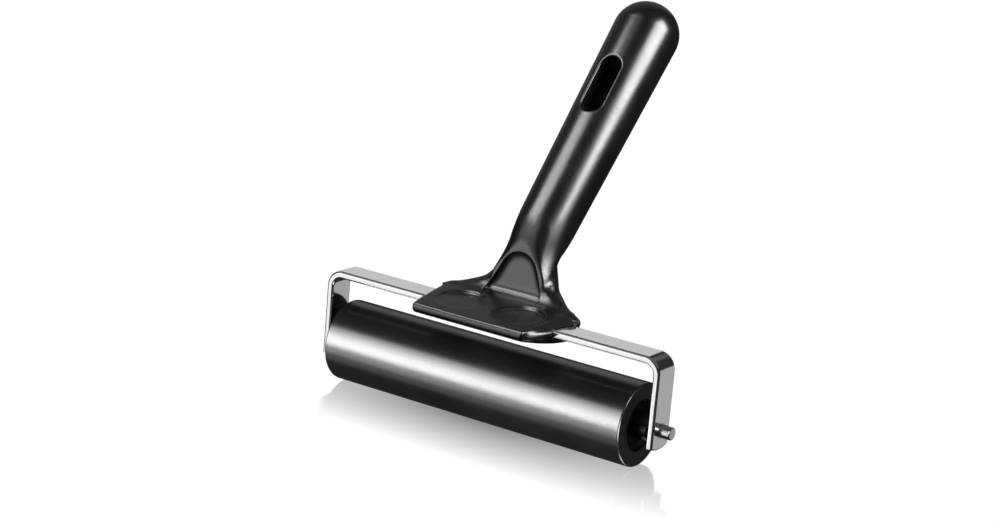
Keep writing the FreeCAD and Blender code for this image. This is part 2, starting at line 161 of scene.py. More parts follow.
# ---------------------------------------------------------------- distance functions
#
# A distance is below zero inside a shape and above zero outside it.

def soft_max(a, b, radius):
    """The larger of two distances: the shapes' overlap, with its edge rounded."""
    mix = np.clip(0.5 + 0.5 * (a - b) / radius, 0.0, 1.0)
    return b + (a - b) * mix + radius * mix * (1.0 - mix)


def soft_min(a, b, radius):
    """The smaller of two distances: the shapes' union, with its inner corner filled."""
    return -soft_max(-a, -b, radius)


def cut_out(shape, tool, radius):
    """What is left of a shape when a tool's room is taken from it, with the edge rounded."""
    return soft_max(shape, -tool, radius)


def smooth_step(value):
    """A change from 0 to 1 that starts and ends level."""
    value = np.clip(value, 0, 1)
    return value * value * (3 - 2 * value)


def smooth_curve(at, table, column):
    """A smooth curve through one column of a table whose first column is the height."""
    heights = np.array([row[0] for row in table])
    values = np.array([row[column] for row in table])
    slopes = np.gradient(values, heights)
    at = np.clip(at, heights[0], heights[-1])
    low = np.clip(np.searchsorted(heights, at) - 1, 0, len(heights) - 2)
    step = heights[low + 1] - heights[low]
    t = (at - heights[low]) / step
    start, end = values[low], values[low + 1]
    return (start * (1 + 2 * t) * (1 - t) ** 2 + end * t * t * (3 - 2 * t)
            + step * t * (1 - t) * (slopes[low] * (1 - t) - slopes[low + 1] * t))


def deck_height(y):
    """How high the head's deck is, by how far back a place is."""
    return DECK_FRONT_HIGH + DECK_RISE * (y - DECK_FRONT)


def head_distance(x, y, z):
    """The head round the bar."""
    over_deck = z - deck_height(y)
    keel_slope = (RIM_LOW - BELLY_LOW) / (BELLY_FRONT - RIM_FRONT)
    keel = (RIM_LOW - keel_slope * (y - RIM_FRONT) - z) / math.hypot(1, keel_slope)
    back = y - HEAD_BACK - HEAD_BACK_LEAN * (z - BELLY_LOW)
    head = soft_max(over_deck, RIM_FRONT - y, radius=1.8)
    head = soft_max(head, keel, radius=1.6)
    head = soft_max(head, BELLY_LOW - z, radius=4.0)
    head = soft_max(head, back, radius=2.0)

    steepness = SHOULDER_SLOPE + SHOULDER_RIM_SLOPE * np.exp(-(y - RIM_FRONT) / SHOULDER_FADE)
    ridge = RIDGE_HALF + RIDGE_SPREAD * (y - DECK_FRONT)
    shoulder = (over_deck + steepness * (x - ridge)) / np.hypot(1, steepness)
    head = soft_max(head, shoulder, radius=0.7)

    forward = np.clip((END_FRONT + END_LENGTH - y) / END_LENGTH, 0, END_LIMIT)
    undercut = END_UNDERCUT * np.maximum(BAR_TOP - z, 0)
    end = x - END_HALF + END_TAPER * forward ** END_CURVE + undercut
    return soft_max(head, end, radius=1.6)


def grip_distance(x, y, z):
    """The leaning round grip with its domed end, and how far along its axis each place is."""
    along = math.sin(GRIP_LEAN) * (y - GRIP_FOOT) + math.cos(GRIP_LEAN) * (z - BAR_TOP)
    across = math.sin(GRIP_LEAN) * (z - BAR_TOP) - math.cos(GRIP_LEAN) * (y - GRIP_FOOT)
    taper = (GRIP_END_RADIUS - GRIP_START_RADIUS) / (GRIP_END - GRIP_START)
    cone = np.hypot(x, across) - GRIP_START_RADIUS - taper * (along - GRIP_START)
    dome = np.sqrt(x * x + across ** 2 + (along - GRIP_END) ** 2) - GRIP_END_RADIUS
    return np.where(along > GRIP_END, dome, cone), along


def oval_distance(x, y, z, least_slope=0.001, least_level=1e-9):
    """The neck's level ovals, stacked."""
    middle, half, front, back = (smooth_curve(z, NECK_SECTIONS, column) for column in (1, 2, 3, 4))
    reach = np.where(y < middle, front, back)
    power = np.where(y < middle, OVAL_FRONT_POWER, OVAL_BACK_POWER)
    outward, lengthways = x / half, np.abs(y - middle) / reach
    level = np.maximum(outward ** power + lengthways ** power, least_level) ** (1 / power)
    slope = np.hypot(outward ** (power - 1) / half, lengthways ** (power - 1) / reach)
    return (level - 1) / np.maximum(slope * level ** (1 - power), least_slope)


def foot_distance(x, y, z, step=0.4, steepest=4.0):
    """The neck's foot: the ovals' distance, corrected for how fast they shrink with height."""
    here = oval_distance(x, y, z)
    rate = (oval_distance(x, y, z + step) - oval_distance(x, y, z - step)) / (2 * step)
    rate = np.clip(rate, -steepest, steepest)
    return np.maximum(here / np.sqrt(1 + rate ** 2), z - NECK_SECTIONS[-1][0])


def neck_distance(x, y, z, grip):
    """The grip's cone, cut by the heel and the flanks, joined to the neck's foot."""
    heel = (y - HEEL_Y - HEEL_SLOPE * (z - HEEL_Z) + HEEL_ROUND * x * x) / math.hypot(1, HEEL_SLOPE)
    flank = math.cos(FLANK_TURN) * x - math.sin(FLANK_TURN) * y - smooth_curve(z, FLANKS, 1)
    flank = np.where(z < FLANKS[-1][0], flank, FAR_INSIDE)
    cone = soft_max(soft_max(grip, heel, radius=1.5), flank, radius=2.5)
    behind = np.clip((y - smooth_curve(z, NECK_SECTIONS, 1)) / FILLET_CHANGE, 0, 1)
    fillet = FRONT_FILLET + (BACK_FILLET - FRONT_FILLET) * behind
    return np.maximum(soft_min(cone, foot_distance(x, y, z), fillet), NECK_FOOT - z)


def front_distance(y, z, flare_size, fade, depth=0.0):
    """Distance in front of the neck's flat front, or of a face that lies deeper than it."""
    flare = flare_size * np.exp((FLARE_FOOT - np.maximum(z, FLARE_LOW)) / fade)
    face = FRONT_Y + FRONT_LEAN * (z - FRONT_Z) - flare + depth
    return (face - y) / np.hypot(1, FRONT_LEAN + flare / fade)


def scoop_distance(x, y, z):
    """The room of the finger scoop, whose floor curves down from its outline."""
    side = SCOOP_SIDE_OUT * x + SCOOP_SIDE_UP * (z - SCOOP_TOP_Z) - SCOOP_TOP_RADIUS
    top = np.hypot(x, z - SCOOP_TOP_Z) - SCOOP_TOP_RADIUS
    at_top = SCOOP_SIDE_OUT * (z - SCOOP_TOP_Z) > SCOOP_SIDE_UP * x
    outline = np.where(at_top, top, side)
    wall = np.clip(-outline / SCOOP_WALL, 0, 1)
    depth = SCOOP_DEPTH * np.sqrt(1 - (1 - wall) ** 2)
    return soft_max(outline, -front_distance(y, z, SCOOP_FLARE, SCOOP_FADE, depth), radius=0.4)


def notch_distance(x, y, z):
    """The notch between the deck and the scoop's lip."""
    over_deck = z - deck_height(y)
    end = x - LIP_HALF + LIP_END_LEAN * over_deck
    return np.maximum(np.maximum(end, z - LIP_Z), np.maximum(y - LIP_BACK, -over_deck))


def dimple_distance(x, y, z):
    """The shallow round dimple in one half of the deck."""
    floor = deck_height(DIMPLE_FRONT) + DIMPLE_RISE * (y - DIMPLE_FRONT)
    return soft_max(np.hypot(x - DIMPLE_X, y - DIMPLE_Y) - DIMPLE_RADIUS, floor - z, radius=1.6)


def slot_distance(x, along):
    """The hanging slot, right through the grip."""
    past_middle = np.maximum(np.abs(along - SLOT_MIDDLE) - SLOT_HALF_LENGTH + SLOT_RADIUS, 0)
    return np.hypot(x, past_middle) - SLOT_RADIUS


def tunnel_distance(y, z):
    """The tunnel that the frame's bar lies in."""
    height = np.abs(z - (BAR_TOP + BAR_BOTTOM) / 2) - STRIP_THICKNESS / 2
    return np.maximum(np.abs(y) - BAR_HALF, height) - TUNNEL_GAP


def handle_distance(x, y, z):
    """The handle, one moulding with soft edges. Its halves mirror each other, so x counts outwards."""
    x = np.abs(x)
    grip, along = grip_distance(x, y, z)
    neck = neck_distance(x, y, z, grip)
    edge = EDGE_SHARP + EDGE_SOFTER * smooth_step((z - EDGE_LOW) / EDGE_CHANGE)
    neck = soft_max(neck, front_distance(y, z, FRONT_FLARE, FRONT_FADE), edge)
    neck = cut_out(neck, scoop_distance(x, y, z), radius=0.5)
    shape = soft_min(head_distance(x, y, z), neck, radius=1.2)
    shape = cut_out(shape, notch_distance(x, y, z), radius=0.45)
    shape = cut_out(shape, dimple_distance(x, y, z), radius=0.9)
    shape = cut_out(shape, slot_distance(x, along), radius=1.2)
    return cut_out(shape, tunnel_distance(y, z), radius=0.4)


def frame_distance(x, y, z, margin=3.0):
    """The bent strip, with soft edges, rounded arm ends and a hole in each arm."""
    x = np.abs(x)
    bend_x, bend_z = HALF_FRAME - OUTER_BEND, BAR_TOP - OUTER_BEND
    from_bar = np.abs(z - (BAR_TOP - STRIP_THICKNESS / 2))
    from_arm = np.abs(x - (HALF_FRAME - STRIP_THICKNESS / 2))
    from_bend = np.abs(np.hypot(x - bend_x, z - bend_z) - (OUTER_BEND - STRIP_THICKNESS / 2))
    middle_line = np.where((x > bend_x) & (z > bend_z), from_bend, np.minimum(from_bar, from_arm))
    middle_line = np.where(x < bend_x - margin, from_bar, middle_line)
    middle_line = np.where(z < bend_z - margin, from_arm, middle_line)
    side = np.abs(y) - BAR_HALF
    arm_end = np.maximum(np.hypot(y, z - ARM_END_Z) - ARM_END_RADIUS, side)
    side = np.where(z < ARM_END_Z, arm_end, side)
    strip = soft_max(middle_line - STRIP_THICKNESS / 2, side, STRIP_EDGE)
    return cut_out(strip, np.hypot(y, z) - AXLE_RADIUS - HOLE_GAP, radius=0.3)


# ---------------------------------------------------------------- meshing a distance function

def sample_grid(distance, low, high, step, block=8, near=1.5):
    """The distance on a grid over a box. Only blocks that the surface may cross are worked out
    in full; the rest keep the sign of their middle."""
    width = block * step
    counts = [int(math.ceil((high[i] - low[i]) / width)) for i in range(3)]
    axes = [low[i] + step * np.arange(counts[i] * block) for i in range(3)]
    middles = [low[i] + step * (block * np.arange(counts[i]) + (block - 1) / 2) for i in range(3)]
    coarse = distance(*np.meshgrid(*middles, indexing="ij"))
    values = np.sign(coarse) * width
    for axis in range(3):
        values = np.repeat(values, block, axis)
    for place in np.argwhere(np.abs(coarse) < near * width):
        part = tuple(slice(n * block, (n + 1) * block) for n in place)
        grid = np.meshgrid(*(axes[i][part[i]] for i in range(3)), indexing="ij")
        values[part] = distance(*grid)
    return values, axes


def surface_net(distance, low, high, step):
    """Points and quads on a distance function's zero level, one point to a grid cell."""
    values, axes = sample_grid(distance, low, high, step)
    inside = values < 0
    corners = [inside[i:i - 1 or None, j:j - 1 or None, k:k - 1 or None]
               for i in (0, 1) for j in (0, 1) for k in (0, 1)]
    count = sum(corner.astype(np.int8) for corner in corners)
    cells = np.argwhere((count > 0) & (count < 8))
    number = np.full(count.shape, -1, np.int64)
    number[tuple(cells.T)] = np.arange(len(cells))

    # A cell's point is the middle of the places where the surface crosses the cell's edges.
    total = np.zeros((len(cells), 3))
    hits = np.zeros(len(cells))
    for axis in range(3):
        second, third = [n for n in range(3) if n != axis]
        for second_step, third_step in ((0, 0), (0, 1), (1, 0), (1, 1)):
            start = cells.copy()
            start[:, second] += second_step
            start[:, third] += third_step
            end = start.copy()
            end[:, axis] += 1
            start_value, end_value = values[tuple(start.T)], values[tuple(end.T)]
            crosses = (start_value < 0) != (end_value < 0)
            share = np.where(crosses, start_value / np.where(crosses, start_value - end_value, 1), 0)
            point = start.astype(float)
            point[:, axis] += share
            total[crosses] += point[crosses]
            hits[crosses] += 1
    points = np.array([axes[i][0] for i in range(3)]) + step * total / hits[:, None]

    # Each grid edge that the surface crosses has one quad, between the four cells round it.
    quads = []
    for axis in range(3):
        second, third = (axis + 1) % 3, (axis + 2) % 3
        along_axis = np.moveaxis(inside, axis, 0)
        change = np.moveaxis(along_axis[1:] != along_axis[:-1], 0, axis)
        edges = np.argwhere(change)
        edges = edges[(edges[:, second] > 0) & (edges[:, third] > 0)]
        ring = []
        for second_step, third_step in ((1, 1), (0, 1), (0, 0), (1, 0)):
            cell = edges.copy()
            cell[:, second] -= second_step
            cell[:, third] -= third_step
            ring.append(number[tuple(cell.T)])
        ring = np.array(ring).T
        outward = inside[tuple(edges.T)]
        ring[~outward] = ring[~outward][:, ::-1]
        quads.append(ring)
    return points, np.vstack(quads)


def slope_at(distance, points, small=0.05):
    """How the distance changes along each axis, at the points."""
    x, y, z = points.T
    return np.array([
        distance(x + small, y, z) - distance(x - small, y, z),
        distance(x, y + small, z) - distance(x, y - small, z),
        distance(x, y, z + small) - distance(x, y, z - small),
    ]).T / (2 * small)


def settle(distance, points, step, rounds=4, share=0.8, reach=0.7, least_slope=0.2):
    """Moves the points onto the zero level, along the distance's slope, by at most reach steps."""
    start = points.copy()
    for _ in range(rounds):
        slope = slope_at(distance, points)
        squared = np.maximum((slope ** 2).sum(1), least_slope)
        points = points - share * (distance(*points.T) / squared)[:, None] * slope
        points = start + np.clip(points - start, -reach * step, reach * step)
    return points


def add_mesh(name, points, faces, body, slot, *nodes):
    """A smooth piece from points in millimetres from the roller's middle; it stands for CAD nodes."""
    mesh = bpy.data.meshes.new(name)
    placed = np.asarray(points) * MM + np.array(ROLLER_MIDDLE)
    mesh.from_pydata(placed.tolist(), [], [list(map(int, face)) for face in faces])
    mesh.polygons.foreach_set("use_smooth", [True] * len(mesh.polygons))
    mesh.update()
    piece = bpy.data.objects.new(name, mesh)
    bpy.context.scene.collection.objects.link(piece)
    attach(piece, body)
    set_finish(piece, slot)
    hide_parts(*nodes)
    return piece


# How far apart the grid's points are, and the boxes that the grids fill, a little larger than the pieces.
HANDLE_GRID, FRAME_GRID = ((0.42, 0.28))
FRAME_LOW, FRAME_HIGH = (-85.3, -7.4, -9.3), (85.3, 7.4, 32.1)
HANDLE_LOW, HANDLE_HIGH = (-36.8, -22.6, 22.4), (36.8, 116.6, 154.2)


def grow(name, distance, low, high, grid, body, slot, node):
    """A piece meshed on a distance function's surface, shaded by the function's own slope."""
    points, quads = surface_net(distance, low, high, grid)
    points = settle(distance, points, grid)
    piece = add_mesh(name, points, quads, body, slot, node)
    normals = slope_at(distance, points)
    normals /= np.linalg.norm(normals, axis=1)[:, None]
    piece.data.normals_split_custom_set_from_vertices(normals.tolist())
    return piece


# ---------------------------------------------------------------- turned pieces
#
# Each corner of an outline is how far along the axle it is, its radius and its rounding.

ON_AXIS = 1e-6                       # a smaller radius is a point on the axle's line


def rounded_outline(corners, steps=4):
    """An outline of (along, radius, rounding) corners, each rounded by an arc of that radius. Gives
    the points, and at each point of an arc the outward direction, or None at a sharp corner."""
    flat = np.array([corner[:2] for corner in corners], float)
    after = np.roll(flat, -1, axis=0)
    area = (flat[:, 0] * after[:, 1] - after[:, 0] * flat[:, 1]).sum()
    if area < 0:
        corners, flat = corners[::-1], flat[::-1]
    outline = []
    for index, corner in enumerate(corners):
        before, here, after = flat[index - 1], flat[index], flat[(index + 1) % len(flat)]
        rounding = corner[2]
        if rounding == 0:
            outline.append((here, None))
            continue
        back, forth = before - here, after - here
        back, forth = back / np.linalg.norm(back), forth / np.linalg.norm(forth)
        bulges = back[1] * forth[0] - back[0] * forth[1] > 0
        half = math.acos(np.clip(back @ forth, -1, 1)) / 2
        reach = rounding / math.tan(half)
        centre = here + (back + forth) / np.linalg.norm(back + forth) * rounding / math.sin(half)
        start, end = here + back * reach - centre, here + forth * reach - centre
        turn = math.atan2(start[0] * end[1] - start[1] * end[0], start @ end)
        for step in range(steps + 1):
            cosine, sine = math.cos(turn * step / steps), math.sin(turn * step / steps)
            arm = np.array([cosine * start[0] - sine * start[1], sine * start[0] + cosine * start[1]])
            outline.append((centre + arm, arm / rounding * (1 if bulges else -1)))
    return outline


def turned(name, corners, body, slot, node, sides=160):
    """A piece turned about the axle's line from a closed outline of rounded corners."""
    outline = rounded_outline(corners)
    angles = [2 * math.pi * n / sides for n in range(sides)]

    def swing(along, out, angle):
        """A point of the outline, or a direction at it, turned about the axle's line."""
        return (along, out * math.cos(angle), out * math.sin(angle))

    points, rings = [], []
    for (along, radius), _ in outline:
        count = 1 if radius < ON_AXIS else sides
        rings.append([len(points) + n % count for n in range(sides)])
        points += [swing(along, radius, angle) for angle in angles[:count]]

    faces, normals = [], []
    for (start, start_out), (end, end_out), ring, next_ring in zip(
            outline, outline[1:] + outline[:1], rings, rings[1:] + rings[:1]):
        if start[1] < ON_AXIS and end[1] < ON_AXIS:
            continue
        flat_out = np.array([end[1] - start[1], start[0] - end[0]])
        flat_out /= np.linalg.norm(flat_out)
        for this in range(sides):
            other = (this + 1) % sides
            face = {}
            for point, side, out in (
                (ring[this], this, start_out),
                (next_ring[this], this, end_out),
                (next_ring[other], other, end_out),
                (ring[other], other, start_out),
            ):
                face.setdefault(point, swing(*(flat_out if out is None else out), angles[side]))
            faces.append(list(face))
            normals += face.values()
    piece = add_mesh(name, points, faces, body, slot, node)
    piece.data.normals_split_custom_set(normals)
    return piece


def make_roller():
    """The rubber, and at each end a dished plug with a bush in it."""
    plug_face = HALF_ROLLER - FLANGE_SINK
    plug_shoulder = plug_face - FLANGE_THICKNESS
    spigot_end = plug_shoulder - SPIGOT_LENGTH
    dish_radius = CORE_RADIUS - DISH_RIM
    bush_inner = spigot_end - BUSH_INNER_REACH
    bush_outer = HALF_FRAME - STRIP_THICKNESS - BUSH_END_FLOAT
    turned("rubber_sleeve_turned", [
        (-HALF_ROLLER, CORE_RADIUS, 0.3),
        (-HALF_ROLLER, ROLLER_RADIUS, 0.9),
        (HALF_ROLLER, ROLLER_RADIUS, 0.9),
        (HALF_ROLLER, CORE_RADIUS, 0.3),
    ], "roller", "rubber", "rubber_sleeve", sides=240)
    for side, sign in (("left", -1), ("right", 1)):
        turned(side + "_end_plug_turned", [
            (sign * spigot_end, BUSH_RADIUS, 0),
            (sign * spigot_end, SPIGOT_RADIUS, 0.3),
            (sign * plug_shoulder, SPIGOT_RADIUS, 0),
            (sign * plug_shoulder, CORE_RADIUS, 0),
            (sign * plug_face, CORE_RADIUS, 0.25),
            (sign * plug_face, dish_radius, 0.35),
            (sign * (plug_face - DISH_DEPTH), dish_radius - DISH_SLOPE, 0.8),
            (sign * (plug_face - DISH_DEPTH), BUSH_RADIUS, 0),
        ], "roller", "plug_plastic", side + "_end_plug")
        turned(side + "_bush_turned", [
            (sign * bush_inner, BUSH_BORE, 0),
            (sign * bush_inner, BUSH_RADIUS, 0.4),
            (sign * bush_outer, BUSH_RADIUS, 0.6),
            (sign * bush_outer, BUSH_BORE, 0.3),
        ], "roller", "bush_plastic", side + "_bush")


def make_axle():
    """The rod, slimmer outside the frame's arms, with rounded ends."""
    left, right = -HALF_FRAME - AXLE_REACH_LEFT, HALF_FRAME + AXLE_REACH_RIGHT
    turned("axle_turned", [
        (left, 0, 0),
        (left, AXLE_END_RADIUS, 0.55),
        (-HALF_FRAME, AXLE_END_RADIUS, 0),
        (-HALF_FRAME, AXLE_RADIUS, 0),
        (HALF_FRAME, AXLE_RADIUS, 0),
        (HALF_FRAME, AXLE_END_RADIUS, 0),
        (right, AXLE_END_RADIUS, 0.55),
        (right, 0, 0),
    ], "holder", "axle_steel", "axle", sides=96)


# ---------------------------------------------------------------- materials

def new_material(name, **settings):
    """A Principled material. Its settings are the shader's own sockets, with _ for a space."""
    material = bpy.data.materials.new(name)
    material.use_nodes = True
    shader = material.node_tree.nodes["Principled BSDF"]
    for socket, value in settings.items():
        shader.inputs[socket.replace("_", " ")].default_value = value
    return material, shader


def noise(material, scale, detail, stretch=(1, 1, 1)):
    """A noise texture over the object's own coordinates, stretched along its axes."""
    tree = material.node_tree
    place = tree.nodes.new("ShaderNodeTexCoord")
    mapping = tree.nodes.new("ShaderNodeMapping")
    mapping.inputs["Scale"].default_value = stretch
    texture = tree.nodes.new("ShaderNodeTexNoise")
    texture.inputs["Scale"].default_value = scale
    texture.inputs["Detail"].default_value = detail
    tree.links.new(place.outputs["Object"], mapping.inputs["Vector"])
    tree.links.new(mapping.outputs["Vector"], texture.inputs["Vector"])
    return texture.outputs["Fac"]


def remap(material, source, low, high, start=0.3, end=0.7):
    """Maps a texture's values from start..end to low..high."""
    tree = material.node_tree
    node = tree.nodes.new("ShaderNodeMapRange")
    for socket, value in (("From Min", start), ("From Max", end), ("To Min", low), ("To Max", high)):
        node.inputs[socket].default_value = value
    tree.links.new(source, node.inputs["Value"])
    return node.outputs["Result"]


def blend_colours(material, source, low, high, start=0.35, end=0.65):
    """A colour that goes from low to high as a texture's value goes from start to end."""
    tree = material.node_tree
    ramp = tree.nodes.new("ShaderNodeValToRGB")
    ramp.color_ramp.elements[0].position = start
    ramp.color_ramp.elements[0].color = (*low, 1)
    ramp.color_ramp.elements[1].position = end
    ramp.color_ramp.elements[1].color = (*high, 1)
    tree.links.new(source, ramp.inputs["Fac"])
    return ramp.outputs["Color"]


def bump(material, shader, *layers):
    """Chains bump layers of (texture, depth in metres, strength) onto the shader."""
    tree = material.node_tree
    normal = None
    for source, depth, strength in layers:
        node = tree.nodes.new("ShaderNodeBump")
        node.inputs["Distance"].default_value = depth
        node.inputs["Strength"].default_value = strength
        tree.links.new(source, node.inputs["Height"])
        if normal is not None:
            tree.links.new(normal, node.inputs["Normal"])
        normal = node.outputs["Normal"]
    tree.links.new(normal, shader.inputs["Normal"])


def finish_surface(material, shader, colour, roughness):
    """Links a colour and a roughness, each from a texture, to the shader."""
    material.node_tree.links.new(colour, shader.inputs["Base Color"])
    material.node_tree.links.new(roughness, shader.inputs["Roughness"])


def plated_steel():
    """Polished plating over a rolled strip: faint lines along the strip and a slight haze."""
    material, shader = new_material("plated_steel", Metallic=1.0)
    lines = noise(material, scale=1.0, detail=3.0, stretch=(12, 2600, 12))
    haze = noise(material, scale=90.0, detail=4.0)
    colour = blend_colours(material, haze, (0.84, 0.842, 0.845), (0.90, 0.902, 0.905))
    finish_surface(material, shader, colour, remap(material, haze, 0.07, 0.13))
    bump(material, shader, (lines, 0.00001, 0.35), (haze, 0.00004, 0.12))
    return material


def turned_steel():
    """Bright rod with fine turning marks round it."""
    material, shader = new_material("turned_steel", Metallic=1.0)
    marks = noise(material, scale=1.0, detail=3.0, stretch=(5200, 40, 40))
    haze = noise(material, scale=160.0, detail=3.0)
    colour = blend_colours(material, haze, (0.60, 0.60, 0.61), (0.70, 0.70, 0.71))
    finish_surface(material, shader, colour, remap(material, marks, 0.10, 0.22))
    bump(material, shader, (marks, 0.00001, 0.4))
    return material


def handle_plastic():
    """Black moulded plastic: a soft gloss with a faint orange peel and a slight polish unevenness."""
    material, shader = new_material("handle_plastic", IOR=1.5)
    peel = noise(material, scale=420.0, detail=2.0)
    grain = noise(material, scale=2600.0, detail=2.0)
    patches = noise(material, scale=45.0, detail=3.0)
    colour = blend_colours(material, patches, (0.0022, 0.0022, 0.0023), (0.0036, 0.0036, 0.0037))
    finish_surface(material, shader, colour, remap(material, patches, 0.24, 0.29))
    bump(material, shader, (peel, 0.00006, 0.10), (grain, 0.00001, 0.18))
    return material


def ground_rubber():
    """Black rubber ground smooth: hair-fine marks round the roller and a dusting of dull grain."""
    material, shader = new_material("ground_rubber", IOR=1.52)
    marks = noise(material, scale=1.0, detail=4.0, stretch=(3400, 30, 30))
    grain = noise(material, scale=1500.0, detail=3.0)
    cloud = noise(material, scale=38.0, detail=3.0)
    colour = blend_colours(material, cloud, (0.0018, 0.0018, 0.0019), (0.0030, 0.0030, 0.0031))
    finish_surface(material, shader, colour, remap(material, cloud, 0.23, 0.27))
    bump(material, shader, (marks, 0.00001, 0.12), (grain, 0.00001, 0.10))
    return material


def moulded_black(name, greys, roughness):
    """Plain moulded black plastic with a fine grain, between two greys and two roughnesses."""
    material, shader = new_material(name, IOR=1.5)
    grain = noise(material, scale=1900.0, detail=3.0)
    cloud = noise(material, scale=120.0, detail=3.0)
    colour = blend_colours(material, cloud, (greys[0],) * 3, (greys[1],) * 3)
    finish_surface(material, shader, colour, remap(material, cloud, *roughness))
    bump(material, shader, (grain, 0.00002, 0.3))
    return material


def paint(piece, material):
    """Gives a piece one material and no other."""
    piece.data.materials.clear()
    piece.data.materials.append(material)


def dress(materials):
    """Gives every visible object of the model its slot's material."""
    slots = {row["node"]: row["material_slot"] for row in frame["record"]["subparts"]}
    for node, piece in frame["nodes"].items():
        paint(piece, materials[slots[node]])
    for piece in bpy.data.objects:
        if "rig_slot" in piece:
            paint(piece, materials[piece["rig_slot"]])


# ---------------------------------------------------------------- camera, floor and world, in metres

CAMERA_PLACE = (0.51567, -0.83784, 0.32494)
CAMERA_AZIMUTH, CAMERA_ELEVATION, CAMERA_ROLL = 33.200, 15.144, 5.035      # degrees
CAMERA_LENS, SENSOR_WIDTH = 84.806, 36.0                                   # millimetres
CAMERA_CLIP = 0.05

FLOOR_HALF, FLOOR_GLOW, FLOOR_ROUGHNESS = 4.0, 1.02, 0.10
POLISHED_PATCH = (0.19, 0.056, 1.0)          # how far the floor's gloss reaches, along x, y and z
PATCH_GLOSS = 0.82                           # at the patch's middle
WORLD_GLOW = 0.03


def make_camera():
    """The camera, turned a little about its own line of sight."""
    azimuth, elevation, roll = (math.radians(v) for v in (CAMERA_AZIMUTH, CAMERA_ELEVATION, CAMERA_ROLL))
    ahead = Vector((
        -math.sin(azimuth) * math.cos(elevation),
        math.cos(azimuth) * math.cos(elevation),
        -math.sin(elevation),
    ))
    level = ahead.cross(Vector((0, 0, 1))).normalized()
    over = level.cross(ahead)
    right = level * math.cos(roll) + over * math.sin(roll)
    up = right.cross(ahead)
    camera = bpy.data.objects.new("camera", bpy.data.cameras.new("camera"))
    camera.data.lens = CAMERA_LENS
    camera.data.sensor_width = SENSOR_WIDTH
    camera.data.clip_start = CAMERA_CLIP
    turn = Matrix((right, up, -ahead)).transposed()
    camera.matrix_world = Matrix.Translation(CAMERA_PLACE) @ turn.to_4x4()
    bpy.context.scene.collection.objects.link(camera)
    bpy.context.scene.camera = camera


def make_floor():
    """A plain white floor with a polished patch under the roller, whose gloss fades outwards."""
    mesh = bpy.data.meshes.new("floor")
    corners = [(FLOOR_HALF * x, FLOOR_HALF * y, 0) for x, y in ((-1, -1), (1, -1), (1, 1), (-1, 1))]
    mesh.from_pydata(corners, [], [(0, 1, 2, 3)])
    floor = bpy.data.objects.new("floor", mesh)
    bpy.context.scene.collection.objects.link(floor)
    material, shader = new_material(
        "pale_floor", Base_Color=(0.97, 0.97, 0.97, 1), Metallic=1.0, Roughness=FLOOR_ROUGHNESS)
    tree = material.node_tree
    place = tree.nodes.new("ShaderNodeTexCoord")
    mapping = tree.nodes.new("ShaderNodeMapping")
    mapping.vector_type = "TEXTURE"
    mapping.inputs["Location"].default_value = (ROLLER_MIDDLE.x, ROLLER_MIDDLE.y, 0)
    mapping.inputs["Scale"].default_value = POLISHED_PATCH
    gradient = tree.nodes.new("ShaderNodeTexGradient")
    gradient.gradient_type = "SPHERICAL"
    tree.links.new(place.outputs["Object"], mapping.inputs["Vector"])
    tree.links.new(mapping.outputs["Vector"], gradient.inputs["Vector"])
    gloss = remap(material, gradient.outputs["Fac"], 0.0, PATCH_GLOSS, start=0.0, end=1.0)
    white = tree.nodes.new("ShaderNodeEmission")
    white.inputs["Color"].default_value = (1, 1, 1, 1)
    white.inputs["Strength"].default_value = FLOOR_GLOW
    mix = tree.nodes.new("ShaderNodeMixShader")
    tree.links.new(gloss, mix.inputs["Fac"])
    tree.links.new(white.outputs["Emission"], mix.inputs[1])
    tree.links.new(shader.outputs["BSDF"], mix.inputs[2])
    tree.links.new(mix.outputs["Shader"], tree.nodes["Material Output"].inputs["Surface"])
    paint(floor, material)
    floor.visible_glossy = floor.visible_shadow = floor.visible_diffuse = False
    return floor


def make_world():
    """A faint even light from everywhere."""
    world = bpy.data.worlds.new("studio")
    bpy.context.scene.world = world
    world.use_nodes = True
    background = world.node_tree.nodes["Background"]
    background.inputs["Color"].default_value = (1, 1, 1, 1)
    background.inputs["Strength"].default_value = WORLD_GLOW


# ---------------------------------------------------------------- light
#
# Each lamp lights only its own pieces, so that every highlight can be placed by itself. A direction
# has azimuth 0 in front of the object and 90 to its right, and angles are in degrees. A far light is
# its name, azimuth, elevation, width, brightness and pieces. A near light has a target before its
# azimuth, and its distance and size in place of the width.

UNSHADED = ("rubber", "handle", "grip", "neck")     # starts of the names of lamps that nothing else shades
LEFT_TARGET_Y, LEFT_TARGET_Z = 0.012, 0.109         # what the left softbox faces, in metres


def new_lamp(name, kind, receivers):
    """A lamp that lights only its receivers."""
    lamp = bpy.data.objects.new(name, bpy.data.lights.new(name, kind))
    bpy.context.scene.collection.objects.link(lamp)
    group = bpy.data.collections.new(name + "_receivers")
    for piece in receivers:
        group.objects.link(piece)
    lamp.light_linking.receiver_collection = group
    if name.startswith(UNSHADED):
        lamp.light_linking.blocker_collection = group
    return lamp


def towards(azimuth, elevation):
    """The direction from the object to an azimuth and elevation."""
    azimuth, elevation = math.radians(azimuth), math.radians(elevation)
    return Vector((
        math.sin(azimuth) * math.cos(elevation),
        -math.cos(azimuth) * math.cos(elevation),
        math.sin(elevation),
    ))


def far_light(name, azimuth, elevation, width, brightness, receivers):
    """A distant soft light, seen from the object as an even disc of that width in degrees."""
    lamp = new_lamp(name, "SUN", receivers)
    lamp.data.angle = math.radians(width)
    lamp.data.energy = brightness * math.pi * math.sin(math.radians(width) / 2) ** 2
    lamp.rotation_euler = towards(azimuth, elevation).to_track_quat("Z", "Y").to_euler()


